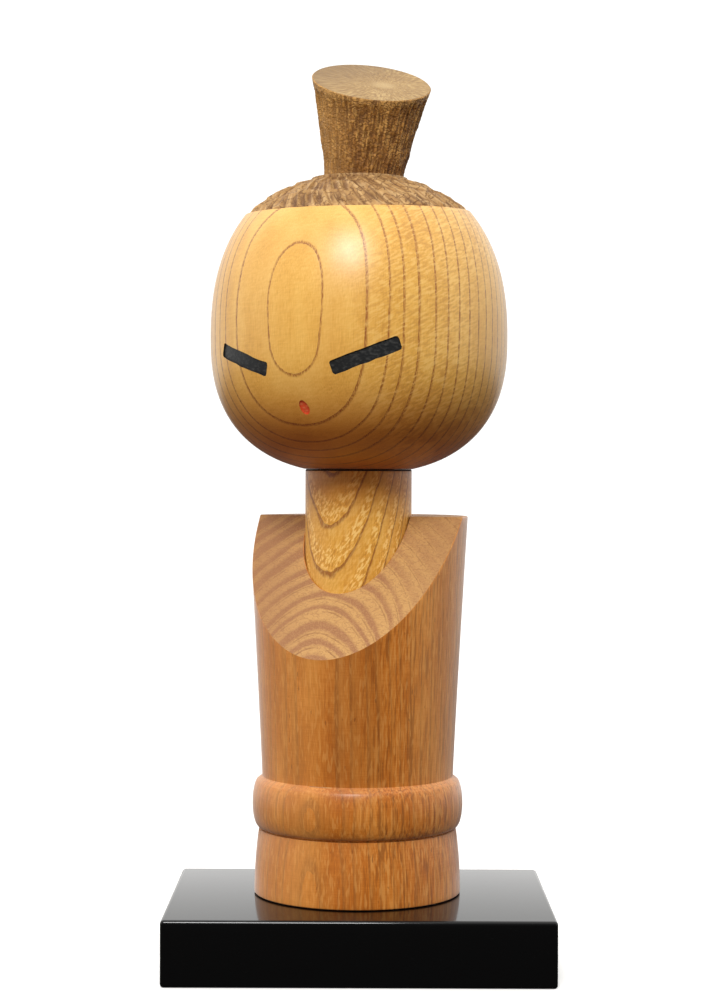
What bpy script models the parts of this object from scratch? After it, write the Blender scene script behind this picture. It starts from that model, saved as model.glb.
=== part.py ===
"""Turned wooden kokeshi doll with a topknot, standing on a lacquered plinth.

Frame: +Z up, the viewer stands on the -Y side, metres.
Origin: the point on the table under the doll's turning axis.
A yaw of 0 faces -Y, and a positive yaw turns towards +X.
"""
import math

import bmesh
import bpy
from mathutils import Matrix, Vector

# ---- plinth ----
PLINTH_WIDTH = 0.1245
PLINTH_DEPTH = 0.0900
PLINTH_HEIGHT = 0.0212
PLINTH_EDGE_RADIUS = 0.0012
PLINTH_OFFSET_X = 0.0007        # block's centre from the doll's axis
PLINTH_OFFSET_Y = -0.0040
COUNTERBORE_DEPTH = 0.0080      # recess under the plinth for the screw's head

# ---- screw and washer that hold the doll on the plinth ----
SCREW_SHANK_RADIUS = 0.0020
SCREW_HEAD_RADIUS = 0.0042
SCREW_HEAD_HEIGHT = 0.0026
SCREW_HEAD_ROUND = 0.0009
SCREW_SLOT_WIDTH = 0.0010
SCREW_SLOT_DEPTH = 0.0012
SCREW_BITE = 0.0180             # length of screw inside the doll's foot
SCREW_TIP_LENGTH = 0.0050
WASHER_RADIUS = 0.0072
WASHER_THICKNESS = 0.0012

# ---- body: foot, girdle bead, sloped shoulder and tapered column ----
FOOT_RADIUS = 0.0343
FOOT_TOP_RADIUS = 0.0328
FOOT_HEIGHT = 0.0213
UNDERCUT_DEPTH = 0.0007         # thin groove between the foot and the bead
UNDERCUT_HEIGHT = 0.0008
BEAD_RADIUS = 0.0350
BEAD_EDGE_RADIUS = 0.0332       # at the bead's lower edge
BEAD_HEIGHT = 0.0152
SHOULDER_RADIUS = 0.0336        # outer edge of the slope on top of the bead
SHOULDER_HEIGHT = 0.0014
WAIST_RADIUS = 0.0318           # column at its lower end
COLUMN_TOP_RADIUS = 0.0364
COLUMN_HEIGHT = 0.0864
COLUMN_CURVE = 1.10             # 1 would be a straight taper
COLUMN_TOP_ROUND = 0.0004

# ---- collar: the flat, slanted cut in the front of the column ----
COLLAR_YAW = -22.0
COLLAR_SLOPE = 52.6             # from level
COLLAR_SET_BACK = 0.0009        # where the cut leaves the flat top, behind the axis

# ---- neck ----
NECK_RADIUS = 0.0177
NECK_EXPOSED = 0.0153           # above the body's flat top
NECK_SOCKET_DEPTH = 0.0480      # below the body's flat top
NECK_EDGE_ROUND = 0.0003
NECK_SPIGOT_RADIUS = 0.0080     # tenon that the head turns on
NECK_SPIGOT_HEIGHT = 0.0180

# ---- head ----
HEAD_RADIUS = 0.0493
HEAD_RISE = 0.0434              # widest section above the flat underside
HEAD_LOWER_HEIGHT = 0.0450      # half axes and exponents of the two halves
HEAD_LOWER_SQUARENESS = 2.45
HEAD_UPPER_HEIGHT = 0.0568
HEAD_UPPER_SQUARENESS = 2.32
HAIRLINE_RISE = 0.0409          # hairline above the widest section
HAIR_INSET = 0.0012             # step in at the hairline
HAIR_RISE = 0.0148              # full height of the dome above the hairline
HAIR_SQUARENESS = 1.48

# ---- face: two bars and a mouth, filled with lacquer in carved recesses ----
FACE_YAW = -23.6
EYE_YAW = 26.2                  # each side of the face's centre
EYE_LEFT_HEIGHT = -0.0086       # bar's centre above the head's widest section
EYE_RIGHT_HEIGHT = -0.0079
EYE_LENGTH = 0.0230
EYE_THICKNESS = 0.0046
EYE_LEFT_SLANT = 18.2           # rising outwards
EYE_RIGHT_SLANT = 21.0
EYE_CORNER = 0.0010
MOUTH_YAW = 1.1                 # from the face's centre
MOUTH_HEIGHT = -0.0240
MOUTH_HALF_WIDTH = 0.00150
MOUTH_HALF_HEIGHT = 0.00230
MOUTH_TILT = 22.0
RECESS_DEPTH = 0.0016           # pocket cut into the head
FILL_SUNK = 0.0004              # lacquer below the head's surface

# ---- topknot ----
KNOT_BASE_RADIUS = 0.0135
KNOT_TOP_RADIUS = 0.0199
KNOT_OFFSET_X = 0.0012
KNOT_LEAN = 5.0                 # towards +X
KNOT_LENGTH = 0.0313            # from its base to the middle of the slanted top
KNOT_TOP_SLOPE = 24.4           # the cut falls towards -Y
KNOT_TOP_TILT = 1.5             # and a little towards +X
KNOT_FLARE = 1.25
KNOT_SPIGOT_RADIUS = 0.0060
KNOT_SPIGOT_HEIGHT = 0.0120

# ---- fits and tessellation ----
GAP = 0.0003                    # glued, resting and running faces
STEPS = 64                      # round a large turned piece
FINE_STEPS = 40                 # round a small one
COLUMN_STEPS = 5                # along each turned outline
BEAD_STEPS = 4
FOOT_STEPS = 3
HAIR_STEPS = 4
HEAD_STEPS = 10
KNOT_STEPS = 6

# ---- heights that follow ----
FOOT_Z = PLINTH_HEIGHT + GAP
BEAD_Z = FOOT_Z + FOOT_HEIGHT + UNDERCUT_HEIGHT
WAIST_Z = BEAD_Z + BEAD_HEIGHT + SHOULDER_HEIGHT
BODY_TOP_Z = WAIST_Z + COLUMN_HEIGHT
SOCKET_FLOOR_Z = BODY_TOP_Z - NECK_SOCKET_DEPTH
NECK_TOP_Z = BODY_TOP_Z + NECK_EXPOSED
HEAD_BASE_Z = NECK_TOP_Z + GAP
HEAD_MID_Z = HEAD_BASE_Z + HEAD_RISE
HAIRLINE_Z = HEAD_MID_Z + HAIRLINE_RISE


def clear_scene():
    for thing in list(bpy.data.objects):
        bpy.data.objects.remove(thing, do_unlink=True)


def new_collection(name):
    collection = bpy.data.collections.new(name)
    bpy.context.scene.collection.children.link(collection)
    return collection


def facing(yaw):
    """Level unit vector that a yaw in degrees faces."""
    turn = math.radians(yaw)
    return Vector((math.sin(turn), -math.cos(turn), 0.0))


# ---------------------------------------------------------------- tools

def as_part(thing, parent=None):
    PARTS.objects.link(thing)
    if parent:
        thing.parent = parent
        thing.matrix_parent_inverse = Matrix.Translation(parent.location).inverted()
    return thing


def as_cutter(thing):
    CUTTERS.objects.link(thing)
    thing.hide_render = True
    thing.display_type = "WIRE"
    return thing


def solid(name, bm):
    """Object made from a finished bmesh, with smooth rounds and sharp edges."""
    mesh = bpy.data.meshes.new(name)
    bm.to_mesh(mesh)
    bm.free()
    mesh.shade_smooth()
    mesh.set_sharp_from_angle(angle=math.radians(32))
    return bpy.data.objects.new(name, mesh)


def turned(name, outline, steps=STEPS):
    """Solid of revolution from (radius, height) points, listed from the top down."""
    mesh = bpy.data.meshes.new(name)
    points = [(radius, 0.0, height) for radius, height in outline]
    edges = [(i, i + 1) for i in range(len(points) - 1)]
    mesh.from_pydata(points, edges, [])
    thing = bpy.data.objects.new(name, mesh)
    screw = thing.modifiers.new("turn", "SCREW")
    screw.steps = steps
    screw.render_steps = steps
    screw.use_merge_vertices = True
    screw.merge_threshold = 0.00001
    screw.use_smooth_shade = True
    return thing


def block(name, size, centre, bevel=0.0, bevel_edges=None, segments=3):
    """Box with the chosen edges rounded; all of them when none are chosen."""
    bm = bmesh.new()
    bmesh.ops.create_cube(bm, size=1.0)
    bmesh.ops.scale(bm, vec=size, verts=bm.verts)
    if bevel:
        chosen = [e for e in bm.edges if bevel_edges is None or bevel_edges(e)]
        bmesh.ops.bevel(bm, geom=chosen, offset=bevel, segments=segments,
                        affect="EDGES", profile=0.5)
    thing = solid(name, bm)
    thing.location = centre
    return thing


def rod(name, radius, z_low, z_high, steps=FINE_STEPS):
    """Upright cylinder on the Z axis."""
    bm = bmesh.new()
    bmesh.ops.create_cone(bm, cap_ends=True, segments=steps, radius1=radius,
                          radius2=radius, depth=z_high - z_low)
    thing = solid(name, bm)
    thing.location = (0.0, 0.0, (z_low + z_high) / 2)
    return thing


def boolean(target, other, operation="DIFFERENCE"):
    modifier = target.modifiers.new(operation.lower() + "_" + other.name, "BOOLEAN")
    modifier.object = other
    modifier.operation = operation
    modifier.solver = "EXACT"


def material(name, colour, roughness, metallic=0.0, coat=0.0):
    surface = bpy.data.materials.new(name)
    surface.use_nodes = True
    shader = surface.node_tree.nodes["Principled BSDF"]
    shader.inputs["Base Color"].default_value = (*colour, 1.0)
    shader.inputs["Roughness"].default_value = roughness
    shader.inputs["Metallic"].default_value = metallic
    shader.inputs["Coat Weight"].default_value = coat
    surface.diffuse_color = (*colour, 1.0)
    return surface


def ellipse_arc(centre, half_width, half_height, start, end, count):
    """Points on an ellipse between two angles in degrees, 0 pointing outwards."""
    points = []
    for i in range(count + 1):
        angle = math.radians(start + (end - start) * i / count)
        points.append((centre[0] + half_width * math.cos(angle),
                       centre[1] + half_height * math.sin(angle)))
    return points


# ---------------------------------------------------------------- plinth

def make_plinth():
    centre = (PLINTH_OFFSET_X, PLINTH_OFFSET_Y, PLINTH_HEIGHT / 2)
    plinth = as_part(block("plinth", (PLINTH_WIDTH, PLINTH_DEPTH, PLINTH_HEIGHT),
                           centre, PLINTH_EDGE_RADIUS))
    shaft = as_cutter(rod("plinth_shaft_hole", SCREW_SHANK_RADIUS + GAP,
                          -GAP, PLINTH_HEIGHT + GAP))
    recess = as_cutter(rod("plinth_counterbore", WASHER_RADIUS + GAP,
                           -COUNTERBORE_DEPTH, COUNTERBORE_DEPTH))
    boolean(plinth, shaft)
    boolean(plinth, recess)
    plinth.data.materials.append(material("black_lacquer", (0.006, 0.006, 0.007),
                                          0.10, coat=1.0))
    return plinth


def make_washer(doll):
    top = COUNTERBORE_DEPTH - GAP
    low = top - WASHER_THICKNESS
    hole = SCREW_SHANK_RADIUS + GAP
    outline = [(hole, top), (WASHER_RADIUS, top), (WASHER_RADIUS, low),
               (hole, low), (hole, top)]
    washer = as_part(turned("plinth_washer", outline, FINE_STEPS), doll)
    washer.data.materials.append(material("zinc_steel", (0.55, 0.56, 0.58), 0.35, 1.0))


def make_screw(doll):
    seat = COUNTERBORE_DEPTH - GAP - WASHER_THICKNESS - GAP
    low = seat - SCREW_HEAD_HEIGHT
    tip = FOOT_Z + SCREW_BITE
    outline = [(0.0, tip), (SCREW_SHANK_RADIUS, tip - SCREW_TIP_LENGTH),
               (SCREW_SHANK_RADIUS, seat), (SCREW_HEAD_RADIUS, seat)]
    outline += ellipse_arc((SCREW_HEAD_RADIUS - SCREW_HEAD_ROUND,
                            low + SCREW_HEAD_ROUND),
                           SCREW_HEAD_ROUND, SCREW_HEAD_ROUND, 0, -90, 4)
    outline.append((0.0, low))
    screw = as_part(turned("plinth_screw", outline, FINE_STEPS), doll)
    slot = as_cutter(block("screw_slot", (4 * SCREW_HEAD_RADIUS, SCREW_SLOT_WIDTH,
                                          2 * SCREW_SLOT_DEPTH), (0.0, 0.0, low)))
    boolean(screw, slot)
    screw.data.materials.append(bpy.data.materials["zinc_steel"])


# ---------------------------------------------------------------- body

def body_outline():
    """Outer side of the uncut body, from its top down."""
    points = [(0.0, BODY_TOP_Z)]
    points += ellipse_arc((COLUMN_TOP_RADIUS - COLUMN_TOP_ROUND,
                           BODY_TOP_Z - COLUMN_TOP_ROUND),
                          COLUMN_TOP_ROUND, COLUMN_TOP_ROUND, 90, 0, 2)
    for i in range(COLUMN_STEPS - 1, -1, -1):
        share = i / COLUMN_STEPS
        radius = WAIST_RADIUS + (COLUMN_TOP_RADIUS - WAIST_RADIUS) * share ** COLUMN_CURVE
        points.append((radius, WAIST_Z + COLUMN_HEIGHT * share))
    middle = BEAD_Z + BEAD_HEIGHT / 2
    sweep = math.degrees(math.acos((SHOULDER_RADIUS - FOOT_TOP_RADIUS)
                                   / (BEAD_RADIUS - FOOT_TOP_RADIUS)))
    sweep_low = math.degrees(math.acos((BEAD_EDGE_RADIUS - FOOT_TOP_RADIUS)
                                       / (BEAD_RADIUS - FOOT_TOP_RADIUS)))
    bulge = BEAD_RADIUS - FOOT_TOP_RADIUS
    upper = BEAD_HEIGHT / 2 / math.sin(math.radians(sweep))
    lower = BEAD_HEIGHT / 2 / math.sin(math.radians(sweep_low))
    points += ellipse_arc((FOOT_TOP_RADIUS, middle), bulge, upper, sweep, 0, BEAD_STEPS)
    points += ellipse_arc((FOOT_TOP_RADIUS, middle), bulge, lower, 0, -sweep_low,
                          BEAD_STEPS)[1:]
    groove = FOOT_TOP_RADIUS - UNDERCUT_DEPTH
    points += [(groove, BEAD_Z), (groove, BEAD_Z - UNDERCUT_HEIGHT)]
    for i in range(FOOT_STEPS, -1, -1):
        share = i / FOOT_STEPS
        radius = FOOT_RADIUS - (FOOT_RADIUS - FOOT_TOP_RADIUS) * share ** 2
        points.append((radius, FOOT_Z + FOOT_HEIGHT * share))
    points.append((0.0, FOOT_Z))
    return points


def collar_cutter():
    """Block whose underside lies on the slanted plane of the collar."""
    size = 4 * COLUMN_TOP_RADIUS
    cutter = as_cutter(block("collar_cut", (size, size, size), (0.0, 0.0, 0.0)))
    turn = Matrix.Rotation(math.radians(COLLAR_YAW), 4, "Z")
    tilt = Matrix.Rotation(math.radians(COLLAR_SLOPE), 4, "X")
    hinge = Vector((0.0, 0.0, BODY_TOP_Z)) - COLLAR_SET_BACK * facing(COLLAR_YAW)
    lift = Matrix.Translation((0.0, 0.0, size / 2))
    cutter.matrix_world = Matrix.Translation(hinge) @ turn @ tilt @ lift
    return cutter


def make_body(doll):
    body = as_part(turned("body", body_outline()), doll)
    boolean(body, collar_cutter())
    socket = as_cutter(rod("neck_socket", NECK_RADIUS + GAP, SOCKET_FLOOR_Z,
                           BODY_TOP_Z + NECK_EXPOSED, STEPS))
    boolean(body, socket)
    pilot = as_cutter(rod("screw_pilot", SCREW_SHANK_RADIUS + GAP, FOOT_Z - GAP,
                          FOOT_Z + SCREW_BITE + 2 * GAP))
    boolean(body, pilot)
    body.data.materials.append(material("body_wood", (0.42, 0.19, 0.07), 0.42))
    return body


def make_neck(doll):
    shoulder = NECK_TOP_Z
    outline = [(0.0, shoulder + NECK_SPIGOT_HEIGHT),
               (NECK_SPIGOT_RADIUS - NECK_EDGE_ROUND, shoulder + NECK_SPIGOT_HEIGHT),
               (NECK_SPIGOT_RADIUS, shoulder + NECK_SPIGOT_HEIGHT - NECK_EDGE_ROUND),
               (NECK_SPIGOT_RADIUS, shoulder),
               (NECK_RADIUS - NECK_EDGE_ROUND, shoulder),
               (NECK_RADIUS, shoulder - NECK_EDGE_ROUND),
               (NECK_RADIUS, SOCKET_FLOOR_Z + GAP + NECK_EDGE_ROUND),
               (NECK_RADIUS - NECK_EDGE_ROUND, SOCKET_FLOOR_Z + GAP),
               (0.0, SOCKET_FLOOR_Z + GAP)]
    neck = as_part(turned("neck", outline), doll)
    neck.data.materials.append(material("neck_wood", (0.50, 0.26, 0.09), 0.40))


# ---------------------------------------------------------------- head

def squared(half_width, half_height, squareness, height):
    """Radius of a squared-off ellipse at a height from its middle."""
    share = min(abs(height) / half_height, 1.0)
    return half_width * (1.0 - share ** squareness) ** (1.0 / squareness)


def squared_heights(half_height, squareness, reach):
    """Heights from 0 to the reach, closer together where the side bends most."""
    last = math.asin((reach / half_height) ** (squareness / 2))
    angles = [last * i / HEAD_STEPS for i in range(HEAD_STEPS + 1)]
    return [half_height * math.sin(angle) ** (2 / squareness) for angle in angles]


def hair_radius(height):
    """Radius of the carved dome at a height above the hairline."""
    full = squared(HEAD_RADIUS, HEAD_UPPER_HEIGHT, HEAD_UPPER_SQUARENESS, HAIRLINE_RISE)
    return squared(full - HAIR_INSET, HAIR_RISE, HAIR_SQUARENESS, height)


def knot_seat_height():
    """Height above the hairline where the dome is as wide as the topknot's foot."""
    low, high = 0.0, HAIR_RISE
    seat_radius = KNOT_BASE_RADIUS + KNOT_OFFSET_X
    for _ in range(40):
        middle = (low + high) / 2
        if hair_radius(middle) > seat_radius:
            low = middle
        else:
            high = middle
    return low


KNOT_SEAT_Z = HAIRLINE_Z + knot_seat_height()


def head_outline():
    """Outer side of the head, from the crown down."""
    rise = knot_seat_height()
    points = [(0.0, KNOT_SEAT_Z)]
    for i in range(HAIR_STEPS, -1, -1):
        height = rise * i / HAIR_STEPS
        points.append((hair_radius(height), HAIRLINE_Z + height))
    for height in reversed(squared_heights(HEAD_UPPER_HEIGHT, HEAD_UPPER_SQUARENESS,
                                           HAIRLINE_RISE)[1:]):
        radius = squared(HEAD_RADIUS, HEAD_UPPER_HEIGHT, HEAD_UPPER_SQUARENESS, height)
        points.append((radius, HEAD_MID_Z + height))
    for height in squared_heights(HEAD_LOWER_HEIGHT, HEAD_LOWER_SQUARENESS, HEAD_RISE):
        radius = squared(HEAD_RADIUS, HEAD_LOWER_HEIGHT, HEAD_LOWER_SQUARENESS, height)
        points.append((radius, HEAD_MID_Z - height))
    points.append((0.0, HEAD_BASE_Z))
    return points


def moved_in(outline, inset):
    """Outline shifted inwards, square to its own side at each point."""
    points = []
    for i, (radius, height) in enumerate(outline):
        if radius == 0.0:
            points.append((radius, height - math.copysign(inset, height - HEAD_MID_Z)))
            continue
        before = Vector(outline[i - 1])
        after = Vector(outline[i + 1])
        along = (after - before).normalized()
        points.append((radius + along.y * inset, height - along.x * inset))
    return points


def place_on_face(yaw, height, roll):
    """Frame on the head: local Z points out of the face, local X runs along it."""
    radius = squared(HEAD_RADIUS, HEAD_LOWER_HEIGHT, HEAD_LOWER_SQUARENESS, height)
    spot = facing(yaw) * radius + Vector((0.0, 0.0, HEAD_MID_Z + height))
    outward = Matrix.Rotation(math.radians(yaw), 4, "Z") @ Matrix.Rotation(
        math.radians(90), 4, "X")
    return Matrix.Translation(spot) @ outward @ Matrix.Rotation(math.radians(roll), 4, "Z")


def bar_prism(name, grow):
    """Rounded bar that stands across the head's surface."""
    size = (EYE_LENGTH + 2 * grow, EYE_THICKNESS + 2 * grow, HEAD_RADIUS / 2)
    return block(name, size, (0.0, 0.0, 0.0), EYE_CORNER + grow,
                 lambda e: abs(e.verts[0].co.z - e.verts[1].co.z) > 0.001, 4)


def mouth_prism(name, grow):
    bm = bmesh.new()
    bmesh.ops.create_cone(bm, cap_ends=True, segments=20, radius1=1.0, radius2=1.0,
                          depth=HEAD_RADIUS / 2)
    bmesh.ops.scale(bm, vec=(MOUTH_HALF_WIDTH + grow, MOUTH_HALF_HEIGHT + grow, 1.0),
                    verts=bm.verts)
    return solid(name, bm)


def inlay(name, shape, spot, head, head_joint, pocket_floor, skin, core, surface):
    """Cut a pocket of even depth in the head, and lay a fill of even depth in it."""
    pocket = as_cutter(shape(name + "_pocket", GAP))
    pocket.matrix_world = spot
    boolean(pocket, pocket_floor)
    boolean(head, pocket)
    fill = as_part(shape(name, 0.0), head_joint)
    fill.matrix_world = spot
    boolean(fill, skin, "INTERSECT")
    boolean(fill, core)
    fill.data.materials.append(surface)


def make_head(head_joint):
    head = as_part(turned("head", head_outline()), head_joint)
    neck_bore = as_cutter(rod("head_neck_bore", NECK_SPIGOT_RADIUS + GAP,
                              HEAD_BASE_Z - GAP,
                              NECK_TOP_Z + NECK_SPIGOT_HEIGHT + 2 * GAP))
    boolean(head, neck_bore)
    knot_bore = as_cutter(rod("head_topknot_bore", KNOT_SPIGOT_RADIUS + GAP,
                              KNOT_SEAT_Z - KNOT_SPIGOT_HEIGHT - GAP,
                              KNOT_SEAT_Z + GAP))
    knot_bore.location.x = KNOT_OFFSET_X
    boolean(head, knot_bore)

    pocket_floor = as_cutter(turned("pocket_floor", moved_in(head_outline(), RECESS_DEPTH)))
    skin = as_cutter(turned("fill_top", moved_in(head_outline(), FILL_SUNK)))
    core = as_cutter(turned("fill_underside", moved_in(head_outline(),
                                                         RECESS_DEPTH - GAP)))
    black = material("black_eye_lacquer", (0.012, 0.013, 0.015), 0.45)
    red = material("red_mouth_lacquer", (0.62, 0.06, 0.03), 0.40)
    left_eye = place_on_face(FACE_YAW - EYE_YAW, EYE_LEFT_HEIGHT, -EYE_LEFT_SLANT)
    right_eye = place_on_face(FACE_YAW + EYE_YAW, EYE_RIGHT_HEIGHT, EYE_RIGHT_SLANT)
    mouth = place_on_face(FACE_YAW + MOUTH_YAW, MOUTH_HEIGHT, MOUTH_TILT)
    inlay("eye_left", bar_prism, left_eye, head, head_joint, pocket_floor, skin, core, black)
    inlay("eye_right", bar_prism, right_eye, head, head_joint, pocket_floor, skin, core, black)
    inlay("mouth", mouth_prism, mouth, head, head_joint, pocket_floor, skin, core, red)
    head.data.materials.append(material("head_wood", (0.60, 0.34, 0.13), 0.35))


# ---------------------------------------------------------------- topknot

def make_topknot(head_joint):
    """Flared knot on a leaning axis, cut level at its base and aslant at its top."""
    length = KNOT_LENGTH + KNOT_TOP_RADIUS * 2 * math.tan(math.radians(KNOT_TOP_SLOPE))
    points = [(0.0, length)]
    for i in range(KNOT_STEPS, -1, -1):
        height = length * i / KNOT_STEPS
        flare = (height / KNOT_LENGTH) ** KNOT_FLARE
        points.append((KNOT_BASE_RADIUS + (KNOT_TOP_RADIUS - KNOT_BASE_RADIUS) * flare,
                       height))
    points.append((KNOT_BASE_RADIUS, -KNOT_BASE_RADIUS))
    points.append((0.0, -KNOT_BASE_RADIUS))
    knot = as_part(turned("topknot", points), head_joint)
    base = Vector((KNOT_OFFSET_X, 0.0, KNOT_SEAT_Z + GAP))
    lean = Matrix.Rotation(math.radians(KNOT_LEAN), 4, "Y")
    knot.matrix_world = Matrix.Translation(base) @ lean

    size = 3 * length
    foot_cut = as_cutter(block("topknot_foot_cut", (size, size, size),
                               base - Vector((0.0, 0.0, size / 2))))
    top_cut = as_cutter(block("topknot_top_cut", (size, size, size), (0.0, 0.0, 0.0)))
    slope = (Matrix.Rotation(math.radians(KNOT_TOP_TILT), 4, "Y")
             @ Matrix.Rotation(math.radians(KNOT_TOP_SLOPE), 4, "X"))
    rise = Matrix.Translation((0.0, 0.0, KNOT_LENGTH))
    lift = Matrix.Translation((0.0, 0.0, size / 2))
    top_cut.matrix_world = Matrix.Translation(base) @ lean @ rise @ slope @ lift
    spigot = as_cutter(rod("topknot_spigot", KNOT_SPIGOT_RADIUS,
                           KNOT_SEAT_Z - KNOT_SPIGOT_HEIGHT, KNOT_SEAT_Z + 4 * GAP))
    spigot.location.x = KNOT_OFFSET_X
    boolean(knot, foot_cut)
    boolean(knot, top_cut)
    boolean(knot, spigot, "UNION")
    knot.data.materials.append(material("topknot_wood", (0.33, 0.19, 0.08), 0.60))


# ---------------------------------------------------------------- assembly

def joint_empty(name, height):
    """Empty on a turning axis; the pieces that turn together hang from it."""
    empty = bpy.data.objects.new(name, None)
    empty.location = (0.0, 0.0, height)
    PARTS.objects.link(empty)
    bpy.context.view_layer.update()
    return empty


clear_scene()
PARTS = new_collection("kokeshi_doll")
CUTTERS = new_collection("cutters")
doll_turn = joint_empty("doll_turn", PLINTH_HEIGHT)
head_turn = joint_empty("head_turn", NECK_TOP_Z)
make_plinth()
make_washer(doll_turn)
make_screw(doll_turn)
make_body(doll_turn)
make_neck(doll_turn)
make_head(head_turn)
make_topknot(head_turn)
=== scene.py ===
import math
import random

import bpy
import numpy as np
from mathutils import Matrix, Vector


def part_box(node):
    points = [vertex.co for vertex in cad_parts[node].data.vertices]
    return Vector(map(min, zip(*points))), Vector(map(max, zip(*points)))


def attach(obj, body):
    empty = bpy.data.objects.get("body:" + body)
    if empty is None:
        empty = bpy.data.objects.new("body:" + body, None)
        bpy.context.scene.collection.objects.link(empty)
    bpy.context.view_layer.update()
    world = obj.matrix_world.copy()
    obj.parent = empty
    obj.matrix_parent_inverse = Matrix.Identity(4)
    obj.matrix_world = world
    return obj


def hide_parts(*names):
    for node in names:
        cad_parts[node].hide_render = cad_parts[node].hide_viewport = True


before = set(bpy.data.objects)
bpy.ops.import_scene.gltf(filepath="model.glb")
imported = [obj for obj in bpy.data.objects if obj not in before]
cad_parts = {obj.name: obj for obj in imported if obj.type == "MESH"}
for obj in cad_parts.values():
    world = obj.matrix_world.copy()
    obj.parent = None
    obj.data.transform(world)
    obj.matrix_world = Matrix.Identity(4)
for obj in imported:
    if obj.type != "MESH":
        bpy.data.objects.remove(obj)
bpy.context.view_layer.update()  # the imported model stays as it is, and new pieces stand for its nodes
print("frame loaded:", ", ".join(sorted(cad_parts)))


# Sizes are in metres and angles in degrees. A yaw of 0 faces -Y and grows towards +X.

def facing(yaw):
    turn = math.radians(yaw)
    return Vector((math.sin(turn), -math.cos(turn), 0.0))


def halfWidth(node):
    low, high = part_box(node)
    return (high.x - low.x) / 2


def squared(width, height, squareness, level):  # radius of a squared-off ellipse at a level
    share = min(abs(level) / height, 1.0)
    return width * (1 - share ** squareness) ** (1 / squareness)


def blendIn(value, low, high):  # 0 up to low, 1 from high, smooth between
    share = np.clip((value - low) / (high - low), 0, 1)
    return share * share * (3 - 2 * share)


# Modelling tools

sliver = 0.000002  # points nearer than this are one point


def pick(piece=None):  # select this piece alone, or nothing
    bpy.ops.object.select_all(action="DESELECT")
    if piece:
        piece.select_set(True)
        bpy.context.view_layer.objects.active = piece


def editAll():
    bpy.ops.object.mode_set(mode="EDIT")
    bpy.ops.mesh.select_all(action="SELECT")


def editDone():
    bpy.ops.object.mode_set(mode="OBJECT")


def named(name):  # name the primitive that was just added
    piece = bpy.context.object
    piece.name = name
    return piece


def pickFaces(piece, wanted):  # call in object mode
    mesh = piece.data
    mesh.vertices.foreach_set("select", [False] * len(mesh.vertices))
    mesh.edges.foreach_set("select", [False] * len(mesh.edges))
    mesh.polygons.foreach_set("select", [bool(wanted(face)) for face in mesh.polygons])


def lathe(name, outline, steps):
    # the outline runs from the axis below, round the outside, to the axis above
    pick()
    bpy.ops.mesh.primitive_plane_add(size=0.001)
    piece = named(name)
    editAll()
    bpy.ops.mesh.select_mode(type="VERT")
    bpy.ops.mesh.select_all(action="SELECT")
    bpy.ops.mesh.merge(type="CENTER")
    radius, height = outline[0]
    bpy.ops.transform.translate(value=(radius, 0, height))
    for nextRadius, nextHeight in outline[1:]:
        step = (nextRadius - radius, 0, nextHeight - height)
        bpy.ops.mesh.extrude_region_move(TRANSFORM_OT_translate={"value": step})
        radius, height = nextRadius, nextHeight
    bpy.ops.mesh.select_all(action="SELECT")
    bpy.ops.mesh.spin(steps=steps, angle=2 * math.pi, center=(0, 0, 0), axis=(0, 0, 1))
    bpy.ops.mesh.select_all(action="SELECT")
    bpy.ops.mesh.remove_doubles(threshold=sliver)
    bpy.ops.mesh.normals_make_consistent(inside=False)
    editDone()
    return piece


def cutFlat(piece, point, normal, edge):
    # saw off what lies beyond the plane, and ease the rim by the edge width
    normal = Vector(normal).normalized()
    low = Vector(point) - edge * normal
    pick(piece)
    editAll()
    bpy.ops.mesh.bisect(plane_co=low, plane_no=normal, use_fill=True, clear_outer=True,
                        threshold=sliver / 2)
    editDone()
    pickFaces(piece, lambda face: face.normal.dot(normal) > 0.9999
              and abs((face.center - low).dot(normal)) < 0.00001)
    bpy.ops.object.mode_set(mode="EDIT")
    bpy.ops.mesh.select_mode(type="FACE")
    bpy.ops.mesh.inset(thickness=edge, depth=edge, use_boundary=True)
    bpy.ops.mesh.select_mode(type="VERT")
    editDone()


def modify(piece, kind, **settings):
    pick(piece)
    made = piece.modifiers.new(kind.lower(), kind)
    for key, value in settings.items():
        setattr(made, key, value)
    bpy.ops.object.modifier_apply(modifier=made.name)


def cut(piece, tool, operation="DIFFERENCE", keepTool=False):
    modify(piece, "BOOLEAN", object=tool, operation=operation, solver="EXACT",
           material_mode="TRANSFER")
    if not keepTool:
        bpy.data.objects.remove(tool)


def smooth(piece, angle):
    pick(piece)
    bpy.ops.object.shade_smooth_by_angle(angle=math.radians(angle), keep_sharp_edges=False)


def points(piece, kind="co"):  # or kind "normal"
    flat = np.empty(len(piece.data.vertices) * 3, np.float32)
    piece.data.vertices.foreach_get(kind, flat)
    return flat.reshape(-1, 3).astype(float)


def setPoints(piece, places):
    piece.data.vertices.foreach_set("co", places.astype(np.float32).ravel())
    piece.data.update()


def keepAmount(piece, name, amount):  # an amount for each point, for a material to read
    layer = piece.data.attributes.new(name, "FLOAT", "POINT")
    layer.data.foreach_set("value", amount.astype(np.float32))


def keepPlaces(piece, name, places):  # a place for each point, for a material to read
    layer = piece.data.attributes.new(name, "FLOAT_VECTOR", "POINT")
    layer.data.foreach_set("vector", places.astype(np.float32).ravel())


def ripple(places, size, seed):
    # soft bumps of about -1 to 1, made of a few crossed waves
    rng = np.random.default_rng(seed)
    total = np.zeros(len(places))
    for _ in range(7):
        direction = rng.normal(size=3)
        direction /= np.linalg.norm(direction)
        waves = 2 * math.pi / (size * rng.uniform(0.7, 1.5))
        total += np.sin(places @ direction * waves + rng.uniform(0, 6.28))
    return total / 4


def standFor(piece, body, node):
    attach(piece, body)
    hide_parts(node)


# Material tools: a socket that works in Python sums

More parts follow.
